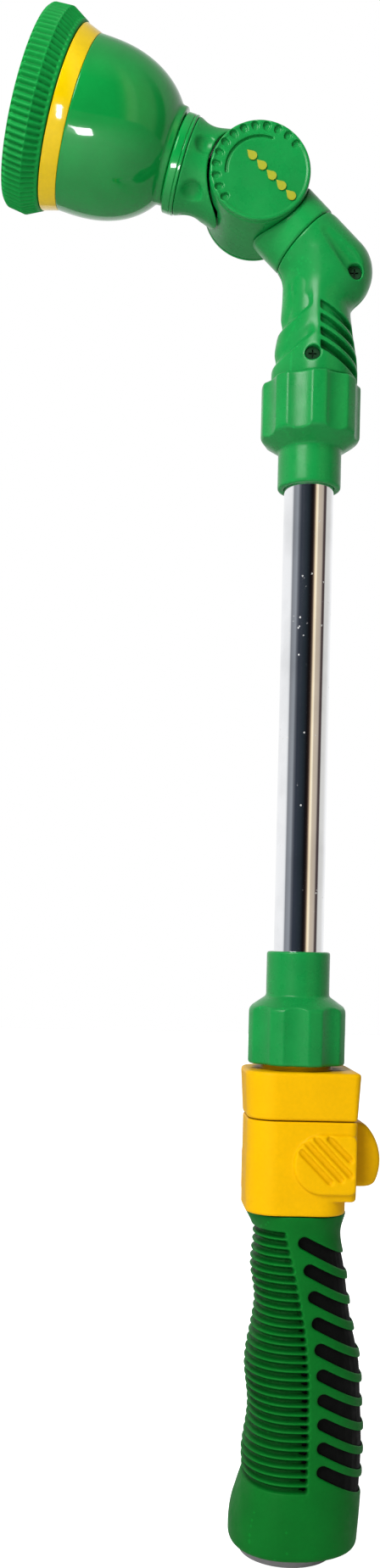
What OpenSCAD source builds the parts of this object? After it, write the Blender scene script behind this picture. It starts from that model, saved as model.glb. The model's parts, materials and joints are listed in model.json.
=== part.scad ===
// Watering wand: hose-end thumb valve and grip at the foot, a chromed tube,
// an elbow with a ratchet pivot, and a spray head with a turning dial.
// Origin: centre of the hose inlet's mouth. +Z runs up the tube, the thumb
// lever is on the +X side and the head sprays towards -X. Millimetres.

/* [Wand tube] */
// Outer radius of the chromed tube
tube_r = 8; // [7:0.5:8.5]
// Wall thickness of the tube
tube_wall = 0.8; // [0.6:0.1:1.2]
// Height of the lower coupling nut's open end
lower_nut_z = 156.8; // [156.4:0.1:160]
// Height of the upper coupling nut's open end
upper_nut_z = 376.4; // [340:0.1:420]

/* [Coupling nuts] */
// Outer radius of the nut's gripping part
nut_r = 16; // [15:0.1:17]
// Number of finger scallops round a nut
nut_scallops = 8; // [5:1:9]
// Radius of the nut's collar round the tube
collar_r = 10.2; // [9.6:0.1:11.5]

/* [Grip] */
// Height of the grip's lower edge
grip_bottom = 3.4; // [2:0.1:5]
// Height of the joint between grip and valve housing
grip_top = 110; // [108:0.5:112]
// Thickness of the soft grip over its core at the fingers; it thins towards the palm
grip_wall = 2.4; // [2:0.1:3]
// Number of vent slots on each side of the palm
slot_count = 10; // [6:1:11]
// Angle of the vent slots below the horizontal
slot_angle = 28; // [20:1:35]
// Height of a vent slot across its length
slot_w = 3.9; // [2:0.1:4.4]

/* [Thumb valve] */
// Height of the seam between valve housing and cap
valve_seam = 139.8; // [139:0.1:141]
// Height of the cap's shoulder
valve_top = 155.2; // [153:0.1:157]
// Radius of the thumb lever's rim
lever_r = 16.3; // [14:0.1:17]
// Distance of the lever's shaft from the tube's axis
lever_x = 10.7; // [10.2:0.1:11]
// Height of the lever's shaft
lever_z = 126.5; // [126:0.1:127]
// Half the width of the lever's rim
lever_half = 6.4; // [5:0.1:6.6]

/* [Head pivot] */
// Distance of the pivot from the tube's axis, along X
pivot_x = -19.3; // [-22:0.1:-17]
// Height of the pivot
pivot_z = 439.1; // [436:0.1:442]
// Outer radius of the pivot drum
drum_r = 16; // [15:0.1:16.2]
// Half the width of the pivot over its covers
drum_half = 13.75; // [13.6:0.05:15]
// Number of index dots on the front cover
dot_count = 13; // [7:1:13]

/* [Spray head] */
// Rise of the head's axis above the horizontal
head_rise = 17.3; // [10:0.1:25]
// Radius of the bowl at its rim
bowl_r = 26; // [24:0.1:26.5]
// Largest radius of the knurled dial ring
dial_r = 30.5; // [30:0.1:32]
// Number of ribs round the dial ring
rib_count = 90; // [60:2:100]

/* [Hidden] */
$fn = 96;
gap = 0.05;           // joint between fixed pieces
clear = 0.3;          // joint between moving pieces
running = 0.05;       // radial clearance of a shaft in its hole
far = 60;             // longer than any cut needs

spigot_r = 12;        // threaded spigots inside the coupling nuts
flange_r = 11;        // rolled rim at each end of the tube
flange_t = 1.4;
nut_cavity = 16.1;    // depth of the nut from its open end to its shoulder
washer_t = 1.5;
tube_low = lower_nut_z + nut_cavity - flange_t;
tube_high = upper_nut_z - nut_cavity + flange_t;
water_r = 5.6;        // radius of the water way through the moulded ducts

hose_r = 12.4;        // inside of the garden hose thread
hose_depth = 12;      // wall of the thread, from the mouth inwards
inlet_r = 15;
inlet_top = 19;
core_bottom = 8;
core_top = 112.8;
core_neck_r = 10.4;   // neck of the core that the grip's top lip closes round
slot_pitch = 8.5;     // between the two top slots; the lower ones lie closer
slot_first = 102.35;

house_left = -16.2;   // outline of the valve housing, seen from above
house_right = 18;
house_half = 16;
house_collar = 114;   // round foot of the housing below its flat sides
body_r = 10.6;        // water body inside the housing
spool_r = 7;
lever_travel = 30;

crank_reach = 4.3;    // from the lever's shaft to the spool's groove
detent = 15;          // degrees between two stops of the head
knuckle_angle = -45;  // direction of the knuckle, from +X towards +Z
head_angle = 180 - head_rise;
head_lift = 2.2;      // the head's axis passes this far above the pivot
neck_lift = 0.5;
elbow_r = 12.3;
elbow_seam = 22.8;    // from the pivot to the seam of the elbow shells
heel_s = 36.7;        // from the pivot to the middle of the elbow's heel
elbow_x = 0.9;
duct_r = 7;
corner_z = pivot_z + pivot_x;  // where the ducts of tube and knuckle meet
band_rear = 60.8;     // along the head's axis, from the pivot
band_front = 66.06;
dial_front = 78;
dial_ridge = 71.4;
face_back = 70;
port_radius = 13;     // from the head's axis to the sealed water port

// ---------------------------------------------------------------- helpers

// Smooth height curve through [z, value] knots, by cubic pieces
function knot(k, i) = k[max(0, min(len(k) - 1, i))];
function segment(k, z, i = 0) = i >= len(k) - 2 || z < k[i + 1][0] ? i : segment(k, z, i + 1);
function slope(k, i) = (knot(k, i + 1)[1] - knot(k, i - 1)[1])
    / (knot(k, i + 1)[0] - knot(k, i - 1)[0]);
function blend(a, b, sa, sb, t) = (2 * t * t * t - 3 * t * t + 1) * a
    + (t * t * t - 2 * t * t + t) * sa + (3 * t * t - 2 * t * t * t) * b
    + (t * t * t - t * t) * sb;
function curve(k, z) = let (i = segment(k, z), h = k[i + 1][0] - k[i][0])
    blend(k[i][1], k[i + 1][1], slope(k, i) * h, slope(k, i + 1) * h, (z - k[i][0]) / h);

// A tube, or a disc with a hole
module ring(outer, inner, z0, z1) {
    difference() {
        translate([0, 0, z0]) cylinder(r = outer, h = z1 - z0);
        translate([0, 0, z0 - 1]) cylinder(r = inner, h = z1 - z0 + 2);
    }
}

// A rubber ring of round section
module o_ring(radius, section, z) {
    translate([0, 0, z])
        rotate_extrude() translate([radius, 0]) circle(r = section, $fn = 24);
}

// A wound spring, swept round its wire
module coil(radius, wire, z0, z1, turns) {
    sides = 6;
    steps = turns * 14;
    points = [for (i = [0 : steps], j = [0 : sides - 1])
        let (a = 360 * turns * i / steps, b = 360 * j / sides)
        [(radius + wire * cos(b)) * cos(a), (radius + wire * cos(b)) * sin(a),
         z0 + wire + (z1 - z0 - 2 * wire) * i / steps + wire * sin(b)]];
    faces = concat(
        [[for (j = [0 : sides - 1]) j]],
        [for (i = [0 : steps - 1], j = [0 : sides - 1])
            let (n = (j + 1) % sides)
            [i * sides + j, (i + 1) * sides + j, (i + 1) * sides + n, i * sides + n]],
        [[for (j = [sides - 1 : -1 : 0]) steps * sides + j]]);
    polyhedron(points, faces, convexity = 6);
}

// Pie slice in the XZ plane, centred on Y, between two directions
module wedge(from, to, radius, half) {
    steps = ceil((to - from) / 15);
    rotate([90, 0, 0])
        linear_extrude(height = 2 * half, center = true)
            polygon(concat([[0, 0]], [for (i = [0 : steps])
                let (a = from + (to - from) * i / steps) radius * [cos(a), sin(a)]]));
}

// Frames: children are drawn along local +Z
module at_pivot() translate([pivot_x, 0, pivot_z]) children();
module along(angle) rotate([0, 90 - angle, 0]) children();
module across() rotate([-90, 0, 0]) children();
module head_frame(lift = head_lift)
    at_pivot() along(head_angle) translate([lift, 0, 0]) children();

// ---------------------------------------------------------------- handle

// Reach of the grip towards the fingers and the palm, by height
finger_side = [[3.4, 18.7], [10, 18.6], [15, 17.9], [20, 16.4], [25, 15], [32, 15.2],
    [46, 13.5], [61, 14.8], [80, 12.1], [92, 13.6], [104, 13], [110, 15.8]];
palm_side = [[3.4, 22.4], [16, 23.4], [35, 24.3], [51, 23.6], [62, 22.9], [76, 19.8],
    [92, 17.5], [103, 15.4], [110, 17]];
half_width = [[3.4, 20.4], [16, 19.8], [35, 18], [62, 17.2], [80, 15.6], [92, 15.2],
    [103, 14.6], [110, 16]];

function grip_point(z, a, wall, slack) = let (
    inset = wall * (1 - 0.7 * max(0, cos(a))) + slack,
    reach = (cos(a) < 0 ? curve(finger_side, z) : curve(palm_side, z)) - inset,
    c = sign(cos(a)) * pow(abs(cos(a)), 0.9),
    s = sign(sin(a)) * pow(abs(sin(a)), 0.9))
    [reach * c, (curve(half_width, z) - inset) * s, z];

// Solid body of the grip, shrunk by a wall that thins towards the palm, and by slack
module grip_loft(z0, z1, wall, slack, rings, sides = 40) {
    points = [for (i = [0 : rings], j = [0 : sides - 1])
        grip_point(z0 + (z1 - z0) * i / rings, 360 * j / sides, wall, slack)];
    faces = concat(
        [[for (j = [0 : sides - 1]) j]],
        [for (i = [0 : rings - 1], j = [0 : sides - 1])
            let (n = (j + 1) % sides)
            [i * sides + j, (i + 1) * sides + j, (i + 1) * sides + n, i * sides + n]],
        [[for (j = [sides - 1 : -1 : 0]) rings * sides + j]]);
    polyhedron(points, faces, convexity = 4);
}

module hose_inlet() color("slategray") difference() {
    cylinder(r = inlet_r, h = inlet_top);
    translate([0, 0, -1]) cylinder(r = hose_r, h = hose_depth + 1);
    translate([0, 0, hose_depth - gap]) cylinder(r = hose_r + 0.6, h = 3);
    cylinder(r = 8, h = inlet_top + 1);
}

module hose_washer() color("black") ring(hose_r + 0.5, 8, hose_depth + 0.2, hose_depth + 2.6);

module filter_screen() color("silver") difference() {
    translate([0, 0, hose_depth + 3.1]) cylinder(r = 7.9, h = 1);
    for (i = [-3 : 3], j = [-3 : 3])
        if (i * i + j * j < 11)
            translate([2 * i, 2 * j, hose_depth + 2]) cylinder(r = 0.7, h = 4, $fn = 16);
}

module handle_core() color([0.05, 0.05, 0.05]) difference() {
    union() {
        grip_loft(core_bottom, grip_top - 2, grip_wall, gap, 28);
        translate([0, 0, grip_top - 4]) cylinder(r = core_neck_r, h = 5);
        translate([0, 0, grip_top]) cylinder(r = 12.6, h = core_top - grip_top);
    }
    cylinder(r = inlet_r + gap, h = inlet_top + gap);
    cylinder(r = water_r, h = far * 2);
}

// One slot on the near side of the palm, running down to the palm's middle
module vent_slot(z, start) {
    translate([start, 0, z]) rotate([0, slot_angle, 0]) translate([0, -far, -slot_w / 2])
        cube([far, far, slot_w]);
}

module grip_sleeve() color("forestgreen") difference() {
    grip_loft(grip_bottom, grip_top - gap, 0, 0, 32);
    grip_loft(core_bottom, grip_top - 2 + gap, grip_wall, 0, 28);
    translate([0, 0, grip_top - 4]) cylinder(r = core_neck_r + gap, h = far);
    cylinder(r = inlet_r + gap, h = inlet_top + gap);
    for (i = [0 : slot_count - 1], side = [0, 1])
        mirror([0, side, 0])
            vent_slot(slot_first - slot_pitch * i + 0.08 * i * (i - 1),
                0.4 + 6.9 * (1 - pow(1 - min(1, i / 7), 2)));
}

// ---------------------------------------------------------------- valve

// Plan of the valve housing: soft corners on the finger side
module housing_plan(left, right, half, soft = 9.5, sharp = 2.2) {
    for (side = [-1, 1]) {
        translate([left + soft, side * (half - soft)]) circle(r = soft);
        translate([right - sharp, side * (half - sharp)]) circle(r = sharp);
    }
    translate([left + soft, -half]) square([right - left - soft - sharp, 2 * half]);
    translate([left, soft - half]) square([right - left, 2 * (half - soft)]);
    translate([right - soft, sharp - half]) square([soft, 2 * (half - sharp)]);
}

// Raised cheek beside the lever: round towards the fingers, with slanting grooves
cheek_r = 9.7;
cheek_t = 1.5;
cheek_z = 126.5;
module cheek() {
    left = -2.4 + cheek_r;
    translate([0, -house_half - cheek_t, cheek_z]) difference() {
        union() {
            translate([left, 0, 0]) across() cylinder(r1 = cheek_r - 0.8, r2 = cheek_r, h = cheek_t + 1);
            translate([left, 0, -cheek_r]) cube([house_right - left - 0.6, cheek_t + 1, 2 * cheek_r]);
        }
        for (i = [0 : 3])
            translate([2.6 + 3.9 * i, -1, 3.4 - 2.6 * i + 1.3 * i * i - 0.1 * i * i * i])
                rotate([0, 45, 0])
                    translate([i == 3 ? -4.4 : -6 + i, 0, -0.6])
                        cube([i == 3 ? 8.2 : 13.5 - i, cheek_t + 0.5, 1.1]);
    }
}

module valve_housing() color("gold") difference() {
    union() {
        translate([0, 0, house_collar]) linear_extrude(height = valve_seam - house_collar - gap)
            housing_plan(house_left, house_right, house_half);
        translate([0.5, 0, grip_top]) cylinder(r = house_half + 0.3, h = house_collar - grip_top + 1);
        for (side = [0, 1]) mirror([0, side, 0]) cheek();
    }
    translate([0, 0, grip_top - 1]) cylinder(r = 12.7, h = far);
    translate([5, -lever_half - 0.5, 111.5]) cube([far, 2 * lever_half + 1, far]);
    translate([lever_x, -house_half + 1, lever_z]) across() cylinder(r = 1.5 + running, h = 2 * house_half - 2);
}

module valve_body() color([0.08, 0.08, 0.08]) difference() {
    union() {
        translate([0, 0, core_top + 0.1]) cylinder(r = body_r, h = valve_seam - core_top - 0.2);
        translate([0, 0, valve_seam - 3.4]) cylinder(r = 12.6, h = 3.3);
    }
    translate([0, 0, core_top + 2]) cylinder(r = spool_r + running, h = far);
    cylinder(r = water_r, h = far * 3);
    translate([5, -lever_half - 0.4, lever_z - 7]) cube([far, 2 * lever_half + 0.8, 14]);
}

spool_rings = [-10, 9.6];
module valve_spool() color("ivory") difference() {
    translate([0, 0, lever_z - 11.4]) cylinder(r = spool_r, h = 23.2);
    cylinder(r = 3.6, h = far * 3);
    for (end = spool_rings) ring_groove(spool_r, 5.7, lever_z + end - 0.9, 1.8);
    ring_groove(spool_r, 5.2, lever_z - 2.9, 3.6);
}

// Groove cut round a cylinder
module ring_groove(outer, root, z, width) {
    translate([0, 0, z]) difference() {
        cylinder(r = outer + 1, h = width);
        translate([0, 0, -1]) cylinder(r = root, h = width + 2);
    }
}

module spool_o_rings() color("black")
    for (end = spool_rings) o_ring(6.35, 0.6, lever_z + end);

// Sector of the thumb lever with a rounded rim, and the crank inside
module thumb_lever() color("gold") difference() {
    union() {
        translate([lever_x, 0, lever_z]) across() intersection() {
            rotate_extrude() polygon([[0, -lever_half], [lever_r - 2, -lever_half],
                [lever_r - 0.6, 1 - lever_half], [lever_r, 2.8 - lever_half],
                [lever_r, lever_half - 2.8], [lever_r - 0.6, lever_half - 1],
                [lever_r - 2, lever_half], [0, lever_half]]);
            translate([5.4, -12.4, -lever_half]) cube([lever_r, 20.8, 2 * lever_half]);
        }
        translate([lever_x, 2.4 - lever_half, lever_z - 2.6])
            cube([7, 2 * lever_half - 4.8, 5.2]);
        translate([lever_x, -lever_half + 2.4, lever_z]) across()
            cylinder(r = 3.4, h = 2 * lever_half - 4.8);
        translate([lever_x, 0, lever_z]) rotate([0, 180 - lever_travel / 2, 0])
            translate([0, -1.4, -1.2]) cube([crank_reach, 2.8, 2.4]);
        translate([lever_x, -1.4, lever_z]) rotate([0, 180 - lever_travel / 2, 0])
            translate([crank_reach, 0, 0]) across() cylinder(r = 1.2, h = 2.8);
    }
    translate([lever_x, -far / 2, lever_z]) across() cylinder(r = 1.52, h = far);
}

module lever_shaft() color("silver")
    translate([lever_x, 1.2 - house_half, lever_z]) across()
        cylinder(r = 1.5, h = 2 * house_half - 2.4);

module valve_cap() color("gold") difference() {
    union() {
        translate([0, 0, valve_seam]) linear_extrude(height = valve_top - valve_seam)
            housing_plan(house_left - 1, house_right + 0.9, house_half + 0.6, 10, 2.4);
        cylinder(r = spigot_r, h = tube_low - washer_t - 0.1);
    }
    translate([0, 0, -1]) cylinder(r = far, h = valve_seam + 1 - gap);
    translate([0, 0, valve_seam - 1]) cylinder(r = 12.6, h = 8.2);
    translate([0, 0, valve_seam + 7.1]) cylinder(r1 = 11.5, r2 = tube_r - tube_wall, h = 5);
    translate([0, 0, valve_seam]) cylinder(r = tube_r - tube_wall, h = far);
}

module cap_o_ring() color("black") o_ring(11.55, 0.55, valve_seam + 0.5);

module seat_plug() color("ivory") {
    ring(12.5, 10.4, valve_seam + 1.5, valve_seam + 4.5);
    difference() {
        union() {
            translate([0, 0, valve_seam + 1.9]) cylinder(r = 6.6, h = 2.4);
            for (a = [0, 120, 240]) rotate([0, 0, a])
                translate([5, -1.2, valve_seam + 1.9]) cube([6, 2.4, 2.4]);
        }
        translate([0, 0, valve_seam + 1]) cylinder(r = 5.6, h = 1.9);
    }
}

module seat_pad() color("black") translate([0, 0, valve_seam + 1]) cylinder(r = 5.5, h = 1.85);

// ---------------------------------------------------------------- tube

// Coupling nut: scalloped grip, cone and collar, open end at z = 0
module coupling_nut(body_h, cone_h, collar_h) {
    total = body_h + cone_h + collar_h;
    scallop_r = 16;
    difference() {
        rotate_extrude() polygon([[0, 0], [nut_r - 1.6, 0], [nut_r - 0.5, 0.5], [nut_r, 1.6],
            [nut_r, body_h - 0.4], [nut_r - 0.3, body_h + 0.2], [collar_r + 0.2, body_h + cone_h],
            [collar_r, total - 1.2], [collar_r - 0.4, total - 0.4], [collar_r - 1.2, total],
            [0, total]]);
        for (i = [0 : nut_scallops - 1])
            rotate([0, 0, 360 * i / nut_scallops])
                translate([nut_r - 0.85 + scallop_r, 0, -1]) cylinder(r = scallop_r, h = total);
        translate([0, 0, -1]) cylinder(r = spigot_r + 0.1, h = nut_cavity + 1);
        translate([0, 0, -1]) cylinder(r = tube_r + gap, h = total + 2);
    }
    ring(collar_r, tube_r + gap, body_h + cone_h, total - 1.2);
}

module lower_nut() color("green")
    translate([0, 0, lower_nut_z]) rotate([0, 0, 37]) coupling_nut(17.8, 3.7, 15);

module lower_washer() color("black")
    ring(flange_r, tube_r - tube_wall, tube_low - washer_t - 0.05, tube_low - 0.05);

module wand_tube() color("gainsboro") difference() {
    union() {
        translate([0, 0, tube_low]) cylinder(r = tube_r, h = tube_high - tube_low);
        translate([0, 0, tube_low]) cylinder(r = flange_r, h = flange_t - gap);
        translate([0, 0, tube_high - flange_t + gap]) cylinder(r = flange_r, h = flange_t - gap);
    }
    cylinder(r = tube_r - tube_wall, h = tube_high + 1);
}

module upper_washer() color("black")
    ring(flange_r, tube_r - tube_wall, tube_high + 0.05, tube_high + 0.05 + washer_t);

module upper_nut() color("green")
    translate([0, 0, upper_nut_z]) mirror([0, 0, 1]) rotate([0, 0, 24.6]) coupling_nut(17.6, 3.5, 13);

// ---------------------------------------------------------------- elbow

boss_r = 8.6;         // duct's boss inside the elbow's neck
boss_top = upper_nut_z + 25;
shell_t = 2;

// Arm of the elbow from its seam to the round heel, or its hollow
module elbow_arm(radius, seam)
    at_pivot() along(knuckle_angle) rotate_extrude()
        polygon(concat([[0, seam], [radius, seam]],
            [for (i = [0 : 10]) [radius * cos(9 * i), heel_s + radius * sin(9 * i)]]));

// Neck of the elbow, flaring down to the coupling nut
module elbow_neck()
    translate([elbow_x, 0, 0]) rotate_extrude() polygon([[0, upper_nut_z + gap],
        [13.4, upper_nut_z + gap], [13.9, upper_nut_z + 0.8], [13.9, 382], [12.6, 390],
        [11.2, 399], [10.8, 405], [10.8, 414], [0, 414]]);

// Water way from the upper nut round the corner to the drum
module duct_form(radius, z0 = upper_nut_z + 4) {
    translate([0, 0, z0]) cylinder(r = radius, h = corner_z - z0);
    translate([0, 0, corner_z]) sphere(r = 1.15 * radius);
    at_pivot() along(knuckle_angle) cylinder(r = radius, h = -pivot_x * sqrt(2));
}

module elbow_duct() color([0.1, 0.1, 0.1]) difference() {
    union() {
        duct_form(duct_r);
        translate([0, 0, tube_high + washer_t + 0.1])
            cylinder(r = spigot_r, h = upper_nut_z - tube_high - washer_t - 0.1 - gap);
        translate([elbow_x, 0, upper_nut_z - 1]) cylinder(r = boss_r, h = boss_top - upper_nut_z + 1);
    }
    duct_form(water_r, tube_high);
    at_pivot() across() translate([0, 0, -far]) cylinder(r = drum_r + gap, h = 2 * far);
    screw_holes(1.2);
}

// The two screws that close the elbow: place, depth of the tip and of the head's seat.
// The lower one bites into the duct's boss, the upper one into the rear shell.
screw_places = [[-1.3, 382.4, -6.4, -9.6], [12, 410, 5, -6]];
module screw_holes(radius) {
    for (p = screw_places)
        translate([p[0], -far, p[1]]) across() cylinder(r = radius, h = far + p[2] + 0.3);
}

module elbow_shell(front) {
    difference() {
        union() {
            elbow_arm(elbow_r, elbow_seam);
            elbow_neck();
        }
        difference() {
            elbow_arm(elbow_r - shell_t, elbow_seam + shell_t);
            translate([12, -far, 410]) across() cylinder(r = 5, h = 2 * far);
        }
        translate([-far, front ? -gap / 2 : -2 * far + gap / 2, 300]) cube([2 * far, 2 * far, 200]);
        translate([elbow_x, 0, upper_nut_z - 1])
            cylinder(r = boss_r + gap, h = boss_top - upper_nut_z + 1.1);
        duct_form(duct_r + gap);
        difference() {
            for (i = [0 : 3], side = [0, 1])
                mirror([0, side, 0]) translate([0.8, 0, 398.4 - 4.1 * i]) rotate([0, 28, 0])
                    translate([0, -far, -1.05]) cube([far, far - 2, 2.1]);
            translate([elbow_x, 0, upper_nut_z]) cylinder(r = 9.7, h = far);
        }
        screw_holes(1.2);
        for (p = screw_places)
            translate([p[0], -far, p[1]]) across() cylinder(r = 2.4, h = far + p[3]);
    }
}

module elbow_shell_front() color("green") elbow_shell(true);
module elbow_shell_rear() color("green") elbow_shell(false);

module elbow_screws() color("dimgray")
    for (p = screw_places)
        translate([p[0], p[3] - 1.95, p[1]]) across() difference() {
            union() {
                cylinder(r = 2.2, h = 1.9);
                cylinder(r = 1.15, h = p[2] - p[3] + 1.95);
            }
            for (turn = [0, 90]) rotate([0, 0, turn])
                translate([-1.3, -0.25, -1]) cube([2.6, 0.5, 1.9]);
        }

module knuckle() color("green") difference() {
    at_pivot() along(knuckle_angle) rotate_extrude()
        polygon([[0, 4], [elbow_r, 4], [elbow_r, elbow_seam - 0.4],
            [elbow_r - 0.4, elbow_seam - gap], [0, elbow_seam - gap]]);
    at_pivot() across() translate([0, 0, -far]) cylinder(r = drum_r + gap, h = 2 * far);
    duct_form(duct_r + gap);
    at_pivot() along(knuckle_angle) cylinder(r = duct_r + 1.5, h = 17.4);
}

module duct_o_ring() color("black") difference() {
    at_pivot() along(knuckle_angle) ring(duct_r + 1.4, duct_r + 0.1, 14.5, 17.3);
    at_pivot() across() translate([0, 0, -far]) cylinder(r = drum_r + gap, h = 2 * far);
}

// ---------------------------------------------------------------- pivot

rotor_half = 9.2;
drum_inner = 14.4;
drum_len = drum_half - 1.55;

module pivot_drum() color("green") difference() {
    at_pivot() across() translate([0, 0, -drum_len]) ring(drum_r, drum_inner, 0, 2 * drum_len);
    at_pivot() wedge(63, 216, far, 5.3);
    at_pivot() along(knuckle_angle) cylinder(r = water_r, h = far);
}

module pivot_rotor() color([0.1, 0.1, 0.1]) difference() {
    union() {
        at_pivot() across() difference() {
            translate([0, 0, -rotor_half]) cylinder(r = drum_inner - clear, h = 2 * rotor_half);
            translate([0, 0, -rotor_half + 2]) ring(11.4, 4.4, 0, 2 * rotor_half - 4);
            for (end = [-1, 1])
                translate([0, 0, end * 8.1 - 0.8]) ring(drum_inner, 12.8, 0, 1.6);
            for (i = [0 : 23]) rotate([0, 0, detent * i])
                translate([9, 0, rotor_half - 0.7]) cylinder(r = 0.9, h = 2);
        }
        at_pivot() along(head_angle) translate([0, 0, 12]) cylinder(r = 5, h = 14);
    }
    at_pivot() across() translate([0, 0, -far]) cylinder(r = 2.5 + running, h = 2 * far);
    at_pivot() along(head_angle) translate([0, 0, 8]) cylinder(r = 3.8, h = far);
    difference() {
        at_pivot() wedge(-97, 52, drum_r, 4.6);
        at_pivot() across() translate([0, 0, -far]) cylinder(r = 11, h = 2 * far);
    }
}

module rotor_o_rings() color("black") at_pivot() across()
    for (end = [-8.1, 8.1]) o_ring(13.45, 0.62, end);

module pivot_screw() color("silver") at_pivot() across() difference() {
    union() {
        translate([0, 0, -11.8]) cylinder(r = 2.5, h = 23.4);
        translate([0, 0, 11.6]) cylinder(r = 4.2, h = 1.9);
    }
    for (turn = [0, 90]) rotate([0, 0, turn]) translate([-2.4, -0.4, 12.6]) cube([4.8, 0.8, 2]);
}

module pivot_nut() color("silver") at_pivot() across() difference() {
    translate([0, 0, -12]) cylinder(r = 4.4, h = 2.2, $fn = 6);
    translate([0, 0, -13]) cylinder(r = 2.5 + gap, h = 4);
}

module pivot_cover_front() color("green") at_pivot() across() difference() {
    union() {
        rotate_extrude() polygon([[0, -drum_half], [drum_r - 0.7, -drum_half],
            [drum_r, -drum_half + 0.7], [drum_r, -drum_len - gap], [0, -drum_len - gap]]);
        translate([0, 0, -drum_len - 1]) ring(drum_inner - gap, 12.4, 0, 2.2);
    }
    for (i = [0 : dot_count - 1]) rotate([0, 0, detent * i - 218])
        translate([13.7, 0, -drum_half - 1]) cylinder(r = 0.75, h = 1.6, $fn = 24);
    rotate([0, 0, -186]) rotate_extrude(angle = 117)
        translate([10.5, -drum_half - 1]) square([0.6, 1.4]);
    translate([0, 0, -12.1]) cylinder(r = 5, h = 3, $fn = 6);
}

// Slanting row of water drops on the front cover
mark_t = 0.2;
module cover_mark() color("gold")
    at_pivot() across() translate([3.4, 1.6, -drum_half - mark_t]) rotate([0, 0, 44.5])
        linear_extrude(height = mark_t)
            for (i = [-2 : 2]) translate([4.4 * i, 0])
                polygon(concat([[-2.1, 0]], [for (a = [-120 : 20 : 120])
                    [1.4 * cos(a) + 0.4, 1.4 * sin(a)]]));

module pivot_cover_rear() color("green") at_pivot() across() difference() {
    union() {
        rotate_extrude() polygon([[0, drum_half], [drum_r - 0.7, drum_half],
            [drum_r, drum_half - 0.7], [drum_r, drum_len + gap], [0, drum_len + gap]]);
        translate([0, 0, drum_len - 1.2]) ring(drum_inner - gap, 12.4, 0, 2.2);
        rotate([0, 0, 90]) translate([9, 0, drum_len - 2]) cylinder(r = 2.4, h = 3);
        translate([0, 0, drum_len - 2]) cylinder(r = 6, h = 3);
    }
    translate([0, 0, -1]) cylinder(r = 2.5 + gap, h = far);
    translate([0, 0, 11.55]) cylinder(r = 4.3, h = far);
    rotate([0, 0, 90]) translate([9, 0, 0]) cylinder(r = 1.6, h = drum_half - 0.8);
}

module detent_ball() color("silver")
    at_pivot() translate([0, rotor_half + 1.55, 0]) rotate([0, 90, 0]) translate([9, 0, 0])
        sphere(r = 1.4, $fn = 32);

module detent_spring() color("silver") at_pivot() across() rotate([0, 0, 90])
    translate([9, 0, 0]) coil(1, 0.2, rotor_half + 2.6, drum_half - 0.85, 2);

// ---------------------------------------------------------------- head

// Profile of the bowl, from its neck end to its rim
bowl_mid = 58;
bowl_len = 32;
function bowl_radius(u, r = bowl_r, len = bowl_len) = u > bowl_mid ? r
    : r * pow(1 - pow((bowl_mid - u) / len, 2.25), 1 / 2.25);

// Neck: a waist between the collar and the saddle that hugs the drum
module head_neck() color("green") difference() {
    head_frame(neck_lift) rotate_extrude() polygon([[0, 6], [15.2, 6], [15.2, 10.5], [14.5, 12.5],
        [13.9, 15], [13.6, 17.6], [13.65, 19.4], [13.9, 21.2], [14.3, 22.8], [14.8, 24], [0, 24]]);
    at_pivot() across() translate([0, 0, -far]) cylinder(r = drum_r + clear + 0.4, h = 2 * far);
    at_pivot() along(head_angle) translate([0, 0, 6]) cylinder(r = 5 + gap, h = 20.3);
    head_frame(neck_lift) for (i = [0 : 5]) rotate([0, 0, -90 + 60 * i + 6])
        translate([15.4, 0, 19.4]) sphere(r = 4, $fn = 48);
}

module neck_collar() color("limegreen") head_frame(neck_lift) difference() {
    rotate_extrude() polygon([[0, 24.1], [14.8, 24.1], [15, 24.4], [15, 25],
        [14.7, 25.2], [15, 25.4], [15, 27.6], [14.3, 28.1], [0, 28.1]]);
    translate([-neck_lift, 0, 0]) cylinder(r = 5.2, h = far);
}

module head_bowl() color("green") head_frame() difference() {
    rotate_extrude() polygon(concat([[4, 28.2], [10, 28.2]],
        [for (i = [0 : 18]) let (u = 29.5 + (bowl_mid - 29.5) * i / 18) [bowl_radius(u), u]],
        [[bowl_r, band_rear - 0.1], [24.4, band_rear - 0.1], [24.4, 68], [22.4, 68],
         [22.4, band_rear]],
        [for (i = [18 : -1 : 0]) let (u = 31.5 + (bowl_mid - 31.5) * i / 18)
            [bowl_radius(u, bowl_r - 2, 30), u]], [[4, 31.5]]));
    translate([-head_lift, 0, 26]) cylinder(r = 4.8, h = 6);
}

module yellow_band() color("gold") head_frame() rotate_extrude()
    polygon([[24.4 + gap, band_rear], [bowl_r, band_rear], [27.6, band_front],
        [24.4 + gap, band_front]]);

module port_plate() color([0.1, 0.1, 0.1]) head_frame() difference() {
    union() {
        translate([0, 0, 62.8]) cylinder(r = 22.4 - gap, h = 3);
        translate([0, 0, 55]) cylinder(r = 4.5, h = face_back - clear - 55);
        translate([port_radius, 0, 60]) cylinder(r = 7.4, h = 8);
        translate([-16, 0, 61]) cylinder(r = 2.8, h = 7);
    }
    translate([0, 0, 58]) cylinder(r = 2.2, h = far);
    translate([port_radius, 0, 63]) cylinder(r = 6.2, h = far);
    translate([port_radius, 0, 50]) cylinder(r = 3.4, h = far);
    translate([-16, 0, 62.5]) cylinder(r = 1.8, h = far);
}

module port_seal() color("black") head_frame() translate([port_radius, 0, 0])
    ring(6.1, 3.6, 65.6, face_back - 0.1);

module port_spring() color("silver") head_frame() translate([port_radius, 0, 0])
    coil(5.4, 0.4, 63.05, 65.55, 2);

module click_ball() color("silver") head_frame() translate([-16, 0, 68.25])
    sphere(r = 1.65, $fn = 32);

module click_spring() color("silver") head_frame() translate([-16, 0, 0])
    coil(1.3, 0.25, 62.55, 66.5, 3);

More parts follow.
